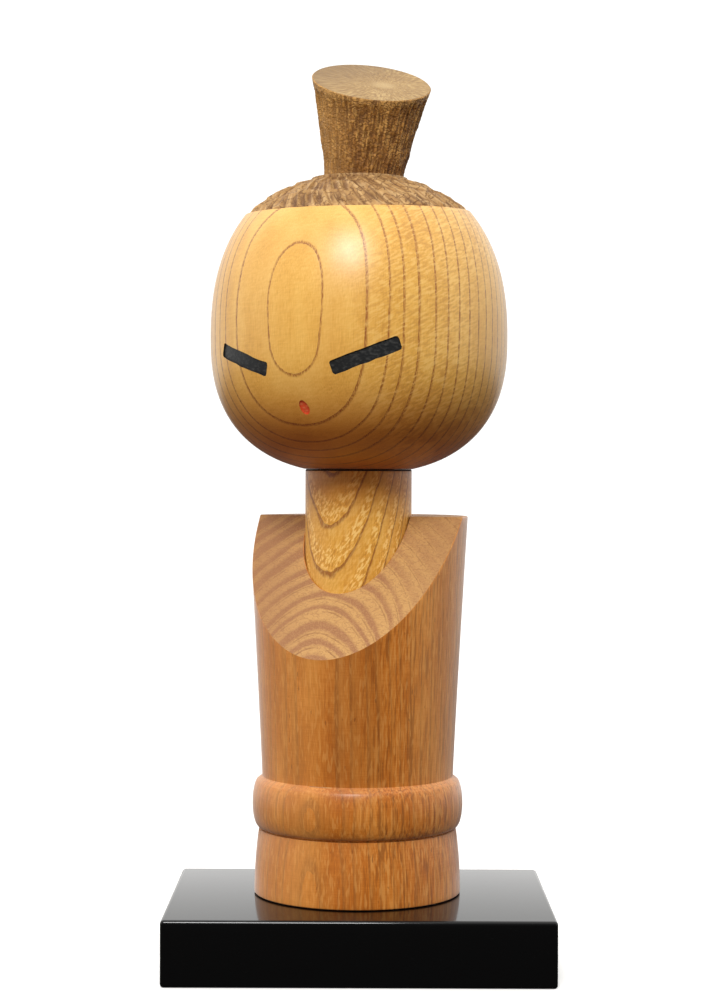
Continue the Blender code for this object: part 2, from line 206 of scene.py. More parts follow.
class Wire:
    def __init__(self, tree, socket):
        self.tree, self.socket = tree, socket

    def node(self, kind, settings=None, sockets=None, output=0):
        made = self.tree.nodes.new("ShaderNode" + kind)
        for key, value in (settings or {}).items():
            if key == "stops":
                stops = made.color_ramp.elements
                stops.remove(stops[1])
                stops[0].position, stops[0].color = value[0][0], (*value[0][1], 1.0)
                for place, colour in value[1:]:
                    stops.new(place).color = (*colour, 1.0)
            else:
                setattr(made, key, value)
        for key, value in (sockets or {}).items():
            if isinstance(value, Wire):
                self.tree.links.new(value.socket, made.inputs[key])
            else:
                made.inputs[key].default_value = value
        return Wire(self.tree, made.outputs[output])

    def sum(self, operation, *values, clamp=False):
        return self.node("Math", {"operation": operation, "use_clamp": clamp},
                         dict(enumerate(values)))

    def __add__(self, other):
        return self.sum("ADD", self, other)

    def __sub__(self, other):
        return self.sum("SUBTRACT", self, other)

    def __rsub__(self, other):
        return self.sum("SUBTRACT", other, self)

    def __mul__(self, other):
        return self.sum("MULTIPLY", self, other)

    def __truediv__(self, other):
        return self.sum("DIVIDE", self, other)

    __radd__, __rmul__ = __add__, __mul__

    def clamped(self):
        return self.sum("ADD", self, 0.0, clamp=True)

    def fraction(self):
        return self.sum("FRACT", self)

    def limited(self, low, high):
        return self.sum("MINIMUM", self.sum("MAXIMUM", self, low), high)

    def step(self, low, high):  # 0 up to low, 1 from high; low may be the larger
        return self.node("MapRange", {"interpolation_type": "SMOOTHSTEP"},
                         {"Value": self, "From Min": low, "From Max": high})

    def ramp(self, stops):
        return self.node("ValToRGB", {"stops": stops}, {"Fac": self})

    def vector(self, operation, *values, output="Vector", **named):
        return self.node("VectorMath", {"operation": operation},
                         {**dict(enumerate(values)), **named}, output)

    def dot(self, direction):  # how far a point lies along a direction
        return self.vector("DOT_PRODUCT", self, tuple(direction), output="Value")

    def noise(self, size, detail=2.0, place=(0, 0, 0)):
        # size is the length of a lump along X, Y and Z
        scaled = self.node("Mapping", {}, {"Vector": self, "Location": place,
                                           "Scale": tuple(1 / length for length in size)})
        return self.node("TexNoise", {}, {"Vector": scaled, "Scale": 1.0, "Detail": detail})

    def slanted(self, angle):  # the coordinates turned about Y
        return self.node("VectorRotate", {}, {"Vector": self, "Axis": (0, 1, 0),
                                              "Angle": math.radians(angle)})

    def squiggles(self, width):  # thin winding lines where a noise is halfway
        away = self.sum("ABSOLUTE", self - 0.5)
        return away.step(width, width * 0.3)

    def mix(self, first, second, blend="MIX"):  # this wire is the factor
        made = self.node("Mix", {"data_type": "RGBA", "blend_type": blend}, {"Factor": self})
        mixer = made.socket.node
        for socket, value in ((mixer.inputs[6], first), (mixer.inputs[7], second)):
            if isinstance(value, Wire):
                self.tree.links.new(value.socket, socket)
            else:
                socket.default_value = (*value, 1.0)
        return Wire(self.tree, mixer.outputs[2])

    def tint(self, colour, tone):  # darken towards a tone
        return self.mix(colour, self.mix(colour, tone, "MULTIPLY"))


def newFinish(name):  # a material and its object coordinates
    made = bpy.data.materials.new(name)
    made.use_nodes = True
    coords = made.node_tree.nodes.new("ShaderNodeTexCoord")
    return made, Wire(made.node_tree, coords.outputs["Object"])


def layered(colour, *coats):  # each coat is a mask and its colour
    for mask, tone in coats:
        colour = mask.mix(colour, tone)
    return colour


def dress(material, constants, colour, roughness=None, height=None, bump=None):
    wires = {"Base Color": colour, "Roughness": roughness}
    if height:
        wires["Normal"] = height.node("Bump", {}, {"Strength": bump[0], "Distance": bump[1],
                                                   "Height": height})
    shader = material.node_tree.nodes["Principled BSDF"]
    for key, value in constants.items():
        shader.inputs[key].default_value = value
    for key, wire in wires.items():
        if wire:
            material.node_tree.links.new(wire.socket, shader.inputs[key])
    return material


# Woods. A noise is given as its lump's length along X, Y and Z, its detail and its offset.

woodMarks = {
    "fibre": ((0.00026, 0.00026, 0.0045), 3.0),
    "pore": ((0.00030, 0.00030, 0.0020), 1.0, (3.1, 1.7, 0.4)),
    "cloud": ((0.012, 0.012, 0.03), 2.0, (7.0, 2.0, 5.0)),
    "turning": ((0.0060, 0.0060, 0.00040), 2.0, (1.0, 6.0, 3.0)),
    "sheen": ((0.004, 0.004, 0.008), 2.0),
}


def grainOf(coords, ringNumber, look, lineWidth):
    # colour and bump height of a ring-porous wood
    fibre, pore, cloud, turning = (coords.noise(*woodMarks[mark])
                                   for mark in ("fibre", "pore", "cloud", "turning"))
    share = ringNumber.fraction()
    line = share.step(lineWidth, lineWidth * 0.4) * share.step(0.0, 0.008)
    softer = 1 - share.step(0.0, look["bandWidth"])
    line = line * (0.45 + 0.55 * pore.step(*look["pores"]))
    tone = (0.55 * cloud + 0.50 * fibre + 0.16 * softer + 0.20 * turning - 0.12).clamped()
    colour = tone.ramp(look["tones"])
    colour = layered(colour, ((softer * look["bandStrength"]).clamped(), look["bandColour"]),
                     ((line * look["lineStrength"]).clamped(), look["lineColour"]))
    return colour, 0.5 * fibre + 0.25 * turning - 0.35 * line


def drift(coords, look):
    # slow wander and fine tremble of the ring surfaces, both around 0
    return coords.noise(*look["wander"]) - 0.5, coords.noise(*look["jitter"]) - 0.5


headLook = {
    "faceYaw": -24.7,  # where the rings' oval is centred
    "ovalHeight": 0.0074,  # above the widest section
    "barrel": 0.128,  # radius of the ring surfaces, seen from the side
    "leanBack": 0.081,  # and their slope at the oval's middle
    "ovalHalf": 0.021,  # half the oval's height
    "ovalEven": 0.00032,  # keeps the oval as wide below as above
    "ringDepths": (0.00102, 0.0056, 0.0094, 0.0123, 0.0157, 0.0203, 0.0243, 0.0284),
    "nextRing": 0.0042,
    "wander": ((0.022, 0.022, 0.045), 1.0, (0.3, 0.8, 0.1)),
    "wanderBy": 0.0012,
    "wanderFrom": (-0.001, 0.010),  # depths; the oval itself stays even
    "jitter": ((0.0012, 0.0012, 0.004), 2.0),
    "jitterBy": 0.00010,
    "lineWidth": (0.045, 0.21),  # at the oval and away from it
    "lineFrom": (0.001, 0.009),
    "bandWidth": 0.50,
    "bandStrength": 0.22,
    "lineStrength": 0.95,
    "pores": (0.42, 0.56),
    "tones": ((0.20, (0.50, 0.225, 0.032)), (0.50, (0.74, 0.395, 0.073)),
              (0.80, (0.88, 0.545, 0.145))),
    "bandColour": (0.56, 0.25, 0.045),
    "lineColour": (0.30, 0.095, 0.016),
    "shadeBelowColour": (0.78, 0.42, 0.17),
    "shadeBelowReach": (-0.008, -0.046),  # painted shade, from the oval's middle down to the neck
    "flame": ((0.0028, 0.0028, 0.0007), 1.0, (0.2, 4.0, 1.0)),
    "flameSlant": 28,
    "flameFrom": (0.014, 0.030),  # distances to the right of the face
    "flameTo": (0.049, 0.045),
    "flameStrength": 0.42,
    "flameLight": (0.92, 0.60, 0.20),
    "flameDark": (0.50, 0.235, 0.055),
    "roughness": 0.36,
    "bump": (0.16, 0.0002),  # strength and depth
    "shine": {"Coat Weight": 0.18, "Coat Roughness": 0.30, "Specular IOR Level": 0.45,
              "Sheen Weight": 0.10, "Sheen Roughness": 0.35},
}


def makeHeadWood():
    look = headLook
    made, coords = newFinish("honeyHeadWood")
    face = facing(look["faceYaw"])
    right = coords.dot((-face.y, face.x, 0.0))
    upward = coords.dot((0, 0, 1)) - (headMiddle + look["ovalHeight"])
    inward = headRadius - coords.dot(face)
    wander, jitter = drift(coords, look)
    wander = wander * inward.step(*look["wanderFrom"])
    half = look["ovalHalf"]
    within = upward.limited(-half, half) / half
    depth = (inward - look["leanBack"] * upward - upward * upward / (2 * look["barrel"])
             + look["ovalEven"] * within * (1 - within * within)
             + wander * look["wanderBy"] + jitter * look["jitterBy"])
    # a ramp counts the rings at their own depths, and even rings follow behind them
    rings = look["ringDepths"]
    last = rings[-1]
    top = len(rings) + 1
    stops = [(0.0, (0.45 / top,) * 3)]
    stops += [(place / last, ((number + 1) / top,) * 3) for number, place in enumerate(rings)]
    near = (depth / last).ramp(stops)
    beyond = (depth - last).limited(0.0, 1.0) / look["nextRing"]
    number = near.node("SeparateColor", {}, {"Color": near}) * top + beyond
    thin, thick = look["lineWidth"]
    lineWidth = thin + (thick - thin) * depth.step(*look["lineFrom"])
    colour, height = grainOf(coords, number, look, lineWidth)
    # flame figure, short aslant strokes right of the face
    flame = coords.slanted(look["flameSlant"]).noise(*look["flame"])
    zone = 0.20 + 0.75 * right.step(*look["flameFrom"]) * right.step(*look["flameTo"])
    zone = zone * look["flameStrength"]
    colour = (flame.step(0.50, 0.66) * zone).mix(colour, look["flameLight"])
    colour = (flame.step(0.48, 0.34) * zone).mix(colour, look["flameDark"])
    # painted shade: the head turns darker and redder below its middle, towards the neck
    colour = upward.step(*look["shadeBelowReach"]).tint(colour, look["shadeBelowColour"])
    roughness = look["roughness"] + 0.12 * (coords.noise(*woodMarks["sheen"]) - 0.5)
    return dress(made, look["shine"], colour, roughness, height, look["bump"])


bodyLook = {
    "pithYaw": -25.0,  # the tree's centre lies outside the piece, in front of it
    "pithOut": 0.044,
    "ring": 0.0040,
    "lean": 0.03,  # the rings widen upwards
    "wander": ((0.020, 0.020, 0.070), 1.0, (0.9, 0.2, 0.6)),
    "wanderBy": 0.0045,
    "jitter": ((0.0014, 0.0014, 0.010), 2.0),
    "jitterBy": 0.0003,
    "years": ((0.10, 700.0), (0.05, 1700.0)),  # good and bad years: how much, and how often
    "lineWidth": 0.22,
    "bandWidth": 0.80,
    "bandStrength": 0.45,
    "lineStrength": 0.38,
    "pores": (0.42, 0.56),
    "tones": ((0.20, (0.30, 0.075, 0.006)), (0.50, (0.51, 0.150, 0.012)),
              (0.80, (0.75, 0.30, 0.052))),
    "bandColour": (0.34, 0.098, 0.009),
    "lineColour": (0.15, 0.038, 0.005),
    "streak": ((0.0008, 0.0008, 0.030), 3.0, (2.0, 8.0, 1.0)),
    "dash": ((0.0008, 0.0008, 0.0048), 1.0, (6.0, 0.0, 4.0)),
    "pits": ((0.0009, 0.0009, 0.0030), 0.0, (5.0, 5.0, 5.0)),
    "streakDark": (0.20, 0.055, 0.006),
    "streakLight": (0.72, 0.34, 0.085),
    "dense": (-0.002, 0.008),  # the next four are places along X
    "highlightLeft": (-0.008, -0.018),
    "highlightRight": (0.014, 0.022),
    "deepMiddle": (-0.013, -0.006, 0.005, 0.012),
    "column": (0.052, 0.064),  # heights where the painted highlight on the right and the darker middle set in
    "roughness": 0.44,
    "bump": (0.30, 0.00025),
    "shine": {"Coat Weight": 0.20, "Coat Roughness": 0.25, "Specular IOR Level": 0.35,
              "Sheen Weight": 0.40, "Sheen Roughness": 0.35},
}


def bodyRings(coords):
    look = bodyLook
    pith = facing(look["pithYaw"]) * look["pithOut"]
    flat = coords.vector("MULTIPLY", coords, (1, 1, 0))
    away = coords.vector("DISTANCE", flat, tuple(pith), output="Value")
    wander, jitter = drift(coords, look)
    depth = (away + look["lean"] * coords.dot((0, 0, 1))
             + wander * look["wanderBy"] + jitter * look["jitterBy"])
    number = depth / look["ring"]
    for amount, often in look["years"]:
        number = number + amount * depth.sum("SINE", depth * often)
    return number


def makeBodyWood():
    look = bodyLook
    made, coords = newFinish("amberBodyWood")
    colour, height = grainOf(coords, bodyRings(coords), look, look["lineWidth"])
    streak, dash, pits = (coords.noise(*look[mark]) for mark in ("streak", "dash", "pits"))
    across = coords.dot((1, 0, 0))
    dense = 0.35 + 0.65 * across.step(*look["dense"])
    # painted highlight: paler at the sides, where light grazes the column; deeper along the middle of
    # the column
    column = coords.dot((0, 0, 1)).step(*look["column"])
    pale = across.step(*look["highlightLeft"]) + across.step(*look["highlightRight"]) * column
    farLeft, left, right, farRight = look["deepMiddle"]
    deep = across.step(farLeft, left) * across.step(farRight, right) * column
    dark, light = look["streakDark"], look["streakLight"]
    colour = layered(colour, (streak.step(0.50, 0.36) * dense * 0.60, dark),
                     (streak.step(0.53, 0.70) * dense * 0.45, light),
                     (dash.step(0.54, 0.68) * 0.38, light),
                     (pits.step(0.81, 0.84) * 0.6, look["lineColour"]),
                     (pale * 0.25, light), (deep * 0.28, dark))
    roughness = look["roughness"] + 0.14 * (coords.noise(*woodMarks["sheen"]) - 0.5)
    return dress(made, look["shine"], colour, roughness, height, look["bump"])


collarLook = {
    "grit": ((0.00045, 0.00045, 0.00045), 2.0),
    "patch": ((0.007, 0.007, 0.007), 2.0, (2.0, 1.0, 0.0)),
    "worm": ((0.0020, 0.0020, 0.0009), 1.0, (6.0, 1.0, 2.0)),
    "wormWidth": 0.045,
    "plainSide": (0.004, 0.018),  # paler and plainer from here on along X
    "darkLeft": (-0.012, -0.032),
    "darkRight": (0.012, 0.030),
    "light": (0.53, 0.288, 0.098),
    "dark": (0.34, 0.150, 0.060),
    "line": (0.20, 0.075, 0.026),
    "gritColour": (0.66, 0.40, 0.160),
    "wormColour": (0.33, 0.150, 0.060),
    "bump": (0.45, 0.0002),
}


def makeEndGrain():
    look = collarLook
    made, coords = newFinish("sawnEndGrain")
    share = bodyRings(coords).fraction()
    grit, patch = coords.noise(*look["grit"]), coords.noise(*look["patch"])
    worm = coords.noise(*look["worm"]).squiggles(look["wormWidth"])
    across = coords.dot((1, 0, 0))
    plain = 1 - 0.70 * across.step(*look["plainSide"])
    band = share.step(0.08, 0.30) * share.step(0.80, 0.45)
    band = ((band * (0.60 + 1.1 * patch) + (patch - 0.5) * 0.6) * plain).clamped()
    line = share.step(0.12, 0.02) * patch.step(0.30, 0.60)
    rim = 0.55 * across.step(*look["darkLeft"]) + 0.35 * across.step(*look["darkRight"])
    colour = layered(look["light"], (band, look["dark"]),
                     (grit.step(0.42, 0.64) * 0.22, look["gritColour"]),
                     (worm * 0.50, look["wormColour"]), (line * 0.50, look["line"]),
                     (rim, look["wormColour"]))
    return dress(made, {"Specular IOR Level": 0.3}, colour, 0.58 + 0.2 * (grit - 0.5),
                 grit - worm * 0.8, look["bump"])


neckLook = {
    "faceYaw": -33.0,
    "tilt": 0.25,  # rings cross the neck aslant and show as nested U shapes
    "ring": 0.0042,
    "ringStart": 0.0043,
    "wander": ((0.010, 0.010, 0.020), 2.0, (0.5, 0.8, 0.1)),
    "wanderBy": 0.0020,
    "jitter": ((0.0012, 0.0012, 0.003), 2.0),
    "jitterBy": 0.0003,
    "lineWidth": 0.15,
    "bandWidth": 0.55,
    "bandStrength": 0.35,
    "lineStrength": 0.90,
    "pores": (0.30, 0.46),
    "tones": ((0.20, (0.48, 0.20, 0.026)), (0.50, (0.74, 0.355, 0.052)),
              (0.80, (0.94, 0.56, 0.13))),
    "bandColour": (0.44, 0.17, 0.024),
    "lineColour": (0.30, 0.100, 0.018),
    "feather": ((0.0007, 0.0007, 0.0022), 2.0, (0.2, 4.0, 1.0)),
    "featherSlant": -35,
    "featherColour": (1.0, 0.68, 0.24),
    "headShadeColour": (0.70, 0.52, 0.40),
    "headShadeReach": (-0.024, -0.003),  # painted shade: the upper end, under the head, is darker
    "jointShadowColour": (0.022, 0.009, 0.004),
    "jointShadowReach": (-0.00045, -0.00030),  # painted shadow in the joint under the head
    "roughness": 0.40,
    "bump": (0.30, 0.00022),
}


def makeNeckWood(topHeight, radius):
    look = neckLook
    made, coords = newFinish("goldenNeckWood")
    inward = radius - coords.dot(facing(look["faceYaw"]))
    upward = coords.dot((0, 0, 1)) - topHeight
    wander, jitter = drift(coords, look)
    depth = (inward - look["tilt"] * upward + wander * look["wanderBy"]
             + jitter * look["jitterBy"])
    number = (depth - look["ringStart"]) / look["ring"] + 8.0  # stays above 0
    colour, height = grainOf(coords, number, look, look["lineWidth"])
    # light feathered strokes beside each ring line, fewer in between
    stroke = coords.slanted(look["featherSlant"]).noise(*look["feather"])
    share = number.fraction()
    beside = 0.25 + 0.75 * share.step(0.45, 0.62) * share.step(1.0, 0.94)
    colour = (stroke.step(0.48, 0.60) * beside * 0.70).mix(colour, look["featherColour"])
    colour = (stroke.step(0.46, 0.34) * beside * 0.50).mix(colour, look["bandColour"])
    # painted shade under the head
    colour = upward.step(*look["headShadeReach"]).tint(colour, look["headShadeColour"])
    # painted shadow line where the neck meets the head
    joint = upward.step(*look["jointShadowReach"])
    colour = joint.mix(colour, look["jointShadowColour"])
    return dress(made, {"Specular IOR Level": 0.4}, colour,
                 look["roughness"] + 0.12 * (stroke - 0.5) + 0.4 * joint,
                 height + 0.3 * stroke, look["bump"])


carvedMarks = {
    "cloud": ((0.006, 0.006, 0.010), 3.0, (1.0, 4.0, 2.0)),
    "roughness": 0.60,
    "bump": (0.7, 0.0005),
}

hairLook = {
    "fibre": ((0.0004, 0.0004, 0.0016), 3.0),
    "chatter": ((0.0032, 0.0032, 0.0032), 1.5, (4.0, 0.0, 2.0)),
    "stroke": ((0.0017, 0.0017, 0.0090), 2.0, (2.0, 0.0, 5.0)),
    "wormWidth": 0.030,
    "wormStrength": 0.70,
    "strokeStrength": 0.62,
    "litSideStrength": 0.10,
    "litSideReach": (-0.028, -0.040),  # places along X
    "seatShadeReach": (0.006, 0.030),  # distance up the dome
    "seatShadeStrength": 0.25,
    "tones": ((0.20, (0.23, 0.106, 0.029)), (0.50, (0.37, 0.200, 0.066)),
              (0.80, (0.51, 0.310, 0.122))),
    "ridgeAndHighlightColour": (0.58, 0.37, 0.160),
    "cutStainAndShadeColour": (0.13, 0.054, 0.016),
    "cutStainAndShadeStrength": 0.75,
}

knotSideLook = {
    "fibre": ((0.0005, 0.0005, 0.0030), 3.0),
    "chatter": ((0.0015, 0.0015, 0.0011), 1.5, (4.0, 0.0, 2.0)),
    "stroke": ((0.0012, 0.0012, 0.0070), 2.0, (2.0, 0.0, 5.0)),
    "wormWidth": 0.090,
    "wormStrength": 0.58,
    "strokeStrength": 0.62,
    "litSideStrength": 0.38,
    "litSideReach": (0.0, -0.012),
    "seatShadeReach": (0.010, 0.032),  # distance down from the sawn top
    "seatShadeStrength": 0.34,
    "tones": ((0.20, (0.17, 0.064, 0.010)), (0.50, (0.34, 0.148, 0.028)),
              (0.80, (0.58, 0.30, 0.078))),
    "ridgeAndHighlightColour": (0.60, 0.33, 0.095),
    "cutStainAndShadeColour": (0.105, 0.038, 0.007),
    "cutStainAndShadeStrength": 0.68,
}


def makeCarvedWood(name, look):
    # wood under the gouge: lighter ridges, partly painted highlight; darker cuts, partly stain pooled
    # in them and partly painted shade
    made, coords = newFinish(name)
    carved = coords.node("Attribute", {"attribute_name": "carved"}, {}, "Fac")
    strokes = coords.node("Attribute", {"attribute_name": "strokes"}, {}, "Vector")
    fibre, chatter = coords.noise(*look["fibre"]), coords.noise(*look["chatter"])
    cloud, stroke = coords.noise(*carvedMarks["cloud"]), strokes.noise(*look["stroke"])
    worm = chatter.squiggles(look["wormWidth"])
    ridgeAndHighlight, stainAndShadeTone = look["ridgeAndHighlightColour"], look["cutStainAndShadeColour"]
    deep = strokes.dot((0, 0, 1)).step(*look["seatShadeReach"])  # painted shade, darker where knot and hair meet
    # painted light: the left side of the carving is lighter
    side = coords.dot((1, 0, 0)).step(*look["litSideReach"])
    colour = (0.5 * fibre + 0.5 * cloud + 0.35 * chatter - 0.15).clamped().ramp(look["tones"])
    colour = layered(colour, (carved.step(0.30, 0.02) * 0.45, ridgeAndHighlight),
                     (carved.step(0.50, 1.0) * look["cutStainAndShadeStrength"], stainAndShadeTone),
                     (stroke.step(0.46, 0.34) * look["strokeStrength"], stainAndShadeTone),
                     (stroke.step(0.52, 0.64) * look["strokeStrength"], ridgeAndHighlight),
                     (worm * look["wormStrength"], stainAndShadeTone),
                     (deep * look["seatShadeStrength"], stainAndShadeTone),
                     (side * look["litSideStrength"], ridgeAndHighlight))
    return dress(made, {"Specular IOR Level": 0.3}, colour,
                 carvedMarks["roughness"] + 0.2 * (fibre - 0.5),
                 0.3 * fibre + chatter + stroke - 0.5 * worm, carvedMarks["bump"])


knotTopLook = {
    "tones": ((0.20, (0.17, 0.088, 0.026)), (0.50, (0.32, 0.190, 0.064)),
              (0.80, (0.50, 0.340, 0.140))),
    "middle": (0.56, 0.40, 0.19),
    "middleReach": (0.0065, 0.0035),
    "darkSide": (0.19, 0.110, 0.042),
    "darkTowards": (-0.75, 0.66, 0),
    "darkReach": (-0.006, 0.014),
    "spread": 0.020,  # how many strokes fan out
    "drift": 0.22,  # how soon they break up
    "stroke": ((0.0011, 0.0011, 0.0011), 2.0, (3.0, 5.0, 1.0)),
    "grit": ((0.0006, 0.0006, 0.0006), 2.0, (1.0, 0.0, 3.0)),
    "cloud": ((0.008, 0.008, 0.008), 2.0, (1.0, 0.0, 3.0)),
    "bump": (0.4, 0.0002),
}


def makeKnotTop(centre):
    # fine strokes that fan out from near the middle of the sawn top
    look = knotTopLook
    made, coords = newFinish("knotTopWood")
    away = coords.vector("SUBTRACT", coords, tuple(centre))
    onward = coords.vector("NORMALIZE", away)
    fan = coords.vector("ADD", coords.vector("SCALE", onward, Scale=look["spread"]),
                        coords.vector("SCALE", away, Scale=look["drift"]))
    stroke = fan.noise(*look["stroke"])
    grit, cloud = coords.noise(*look["grit"]), coords.noise(*look["cloud"])
    colour = (1.00 * stroke + 0.30 * grit + 0.35 * cloud - 0.33).clamped().ramp(look["tones"])
    dark = coords.dot(look["darkTowards"]).step(*look["darkReach"])
    colour = (dark * 0.65).mix(colour, look["darkSide"])
    out = coords.vector("LENGTH", away, output="Value")
    colour = (out.step(*look["middleReach"]) * 0.40).mix(colour, look["middle"])
    return dress(made, {"Specular IOR Level": 0.3}, colour, 0.58 + 0.2 * (grit - 0.5),
                 stroke + 0.5 * grit, look["bump"])


# Lacquers and metal

lacquerLook = {
    "black": (0.0020, 0.0020, 0.0021),
    "dustColour": (0.03, 0.03, 0.028),
    "haze": ((0.02, 0.02, 0.02), 3.0),
    "dust": ((0.0007, 0.0007, 0.0007), 1.0),
    "eye": (0.011, 0.012, 0.013),
    "eyeWorn": (0.060, 0.060, 0.058),
    "mouth": (0.78, 0.100, 0.032),
    "mouthWorn": (0.90, 0.28, 0.12),
    "brush": ((0.0013, 0.0013, 0.0008), 3.0),
    "grit": ((0.0004, 0.0004, 0.0004), 2.0, (2.0, 3.0, 1.0)),
}


def makePlinthLacquer():
    made, coords = newFinish("glossBlackLacquer")
    haze = coords.noise(*lacquerLook["haze"])
    dust = coords.noise(*lacquerLook["dust"]).step(0.72, 0.80)
    colour = (dust * 0.25).mix(lacquerLook["black"], lacquerLook["dustColour"])
    return dress(made, {"IOR": 1.41}, colour, 0.07 + 0.05 * haze, haze, (0.02, 0.0004))


def makeInlayLacquer(name, plain, worn, roughness):
    made, coords = newFinish(name)
    brush = coords.noise(*lacquerLook["brush"])
    grit = coords.noise(*lacquerLook["grit"])
    colour = (brush.step(0.45, 0.75) * 0.7).mix(plain, worn)
    return dress(made, {"Specular IOR Level": 0.4}, colour, roughness + 0.25 * (brush - 0.5),
                 0.7 * brush + 0.3 * grit, (0.45, 0.0003))


zincLook = {
    "spangle": ((0.0012, 0.0012, 0.0012), 2.0),
    "dark": (0.42, 0.43, 0.45),
    "light": (0.60, 0.61, 0.63),
}


def makeZinc():
    made, coords = newFinish("dullZincSteel")
    spangle = coords.noise(*zincLook["spangle"])
    colour = spangle.step(0.35, 0.65).mix(zincLook["dark"], zincLook["light"])
    return dress(made, {"Metallic": 1.0}, colour, 0.30 + 0.25 * (spangle - 0.3))


# Head with its carved hair, one block

headShape = {
    "rise": 0.0434,  # widest section above the flat underside
    "lowerHeight": 0.0450,
    "lowerSquareness": 2.45,
    "upperHeight": 0.0568,
    "upperSquareness": 2.32,
    "hairline": 0.0413,  # above the widest section
    "hairInset": 0.0012,
    "hairRise": 0.0148,
    "hairSquareness": 1.48,
    "hairlineBow": 2.4,  # the hairline runs lower over the face
    "bowReach": 0.022,  # and takes the wood below along
    "lowerRows": 30,
    "upperRows": 28,
    "hairRows": 64,
    "steps": 520,
    "boreRadius": 0.0083,  # for the neck's spigot
    "boreGap": 0.0003,
}

headLow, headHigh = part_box("head")
headRadius, crownTop = halfWidth("head"), headHigh.z
headMiddle = headLow.z + headShape["rise"]
hairline = headMiddle + headShape["hairline"]


def headRadiusAt(level):
    shape = headShape
    if level > 0:
        return squared(headRadius, shape["upperHeight"], shape["upperSquareness"], level)
    return squared(headRadius, shape["lowerHeight"], shape["lowerSquareness"], level)


def evenLevels(height, squareness, reach, rows):  # closer where the side bends most
    last = math.asin((reach / height) ** (squareness / 2))
    return [height * math.sin(last * row / rows) ** (2 / squareness) for row in range(rows + 1)]


def headOutline(rows=1.0, inset=0.0):
    shape = headShape
    base = headLow.z + inset
    outline = [(0.0, base)]
    lower = evenLevels(shape["lowerHeight"], shape["lowerSquareness"], shape["rise"],
                       int(shape["lowerRows"] * rows))
    for level in reversed(lower):
        outline.append((headRadiusAt(-level) - inset, max(headMiddle - level, base)))
    upper = evenLevels(shape["upperHeight"], shape["upperSquareness"], shape["hairline"],
                       int(shape["upperRows"] * rows))
    for level in upper[1:]:
        outline.append((headRadiusAt(level) - inset, headMiddle + level))
    outline.append((0.0, outline[-1][1]))
    return outline


def fullHeadOutline():
    shape = headShape
    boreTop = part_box("neck")[1].z + shape["boreGap"]
    bore = shape["boreRadius"]
    outline = [(0.0, boreTop), (bore, boreTop), (bore, headLow.z)]
    outline += headOutline()[1:-1]
    full = headRadiusAt(shape["hairline"]) - shape["hairInset"]
    rise, squareness = shape["hairRise"], shape["hairSquareness"]
    for level in evenLevels(rise, squareness, crownTop - hairline, shape["hairRows"]):
        outline.append((squared(full, rise, squareness, level), hairline + level))
    outline.append((0.0, crownTop))
    return outline


hairCuts = {
    # distance above the hairline, length and width of each band's cuts
    "bands": ((0.0045, 0.009, 0.0030), (0.0125, 0.011, 0.0034), (0.0205, 0.012, 0.0036),
              (0.0285, 0.011, 0.0036)),
    "depth": 0.00140,
    "overlap": 0.80,  # spacing as a share of the width
    "scatter": 0.0016,
    "sweep": 15.0,  # radians of turn for each metre down the dome
    "grain": (0.0022, 0.00005),  # size and height of the rough surface
    "nickReach": 0.0014,  # dark nicks along the hairline
    "nickSize": 0.0050,
    "edge": 0.0004,  # untouched at the hairline and at the crown
    "seed": 11,
}


def carveHair(head):
    shape, cuts = headShape, hairCuts
    full = headRadiusAt(shape["hairline"])
    places = points(head)
    around = np.hypot(places[:, 0], places[:, 1])
    yaw = np.arctan2(places[:, 0], -places[:, 1])
    hair = (places[:, 2] > hairline - 0.00001) & (around < full - 0.0006)
    # distance up the dome from the hairline, along its surface
    levels = np.linspace(0, crownTop - hairline, 200)
    widths = np.array([squared(full - shape["hairInset"], shape["hairRise"],
                               shape["hairSquareness"], level) for level in levels])
    along = np.concatenate([[0], np.cumsum(np.hypot(np.diff(levels), np.diff(widths)))])
    upDome = np.interp(places[:, 2] - hairline, levels, along)
    rng = random.Random(cuts["seed"])
    depth = np.zeros(len(places))
    rows = np.where(hair)[0]
    for start, length, width in cuts["bands"]:
        ringRadius = float(np.interp(start, along, widths))
        count = round(2 * math.pi * ringRadius / (width * cuts["overlap"]))
        for number in range(count):
            place = 2 * math.pi * (number + rng.uniform(-0.3, 0.3)) / count
            middleUp = start + rng.uniform(-cuts["scatter"], cuts["scatter"])
            reach = length * rng.uniform(0.75, 1.25) / 2
            half = width * rng.uniform(0.85, 1.25) / 2
            deep = cuts["depth"] * rng.uniform(0.55, 1.15)
            sweep = cuts["sweep"] * rng.uniform(0.7, 1.3)
            lean = upDome[rows] - middleUp
            turned = yaw[rows] - place + sweep * lean
            turned = (turned + math.pi) % (2 * math.pi) - math.pi
            across = turned * around[rows] / half / math.sqrt(1 + (sweep * ringRadius) ** 2)
            onward = lean / reach
            dish = np.clip(1 - across ** 2, 0, 1) * np.clip(1 - onward ** 2, 0, 1) ** 0.6
            depth[rows] = np.maximum(depth[rows], deep * dish)
    edge = blendIn(upDome, 0.0, cuts["edge"]) * blendIn(along[-1] - upDome, 0.0,
                                                        cuts["edge"] * 1.25)
    depth *= np.where(hair, edge, 0)
    size, height = cuts["grain"]
    rough = np.where(hair, ripple(places, size, 5) * height * edge, 0)
    places -= points(head, "normal") * (depth + rough)[:, None]
    setPoints(head, places)
    nicks = np.where(hair, 1 - blendIn(upDome, 0.0, cuts["nickReach"]), 0) * np.clip(
        0.2 + 1.4 * ripple(places, cuts["nickSize"], 3), 0, 1)
    keepAmount(head, "carved", np.clip(depth / cuts["depth"] + nicks, 0, 1))
    winding = yaw + cuts["sweep"] * upDome  # the wood's strokes follow the gouge
    windingPlaces = np.stack([full * np.cos(winding), full * np.sin(winding), upDome], axis=1)
    keepPlaces(head, "strokes", windingPlaces)
    keepAmount(head, "hair", hair.astype(float))


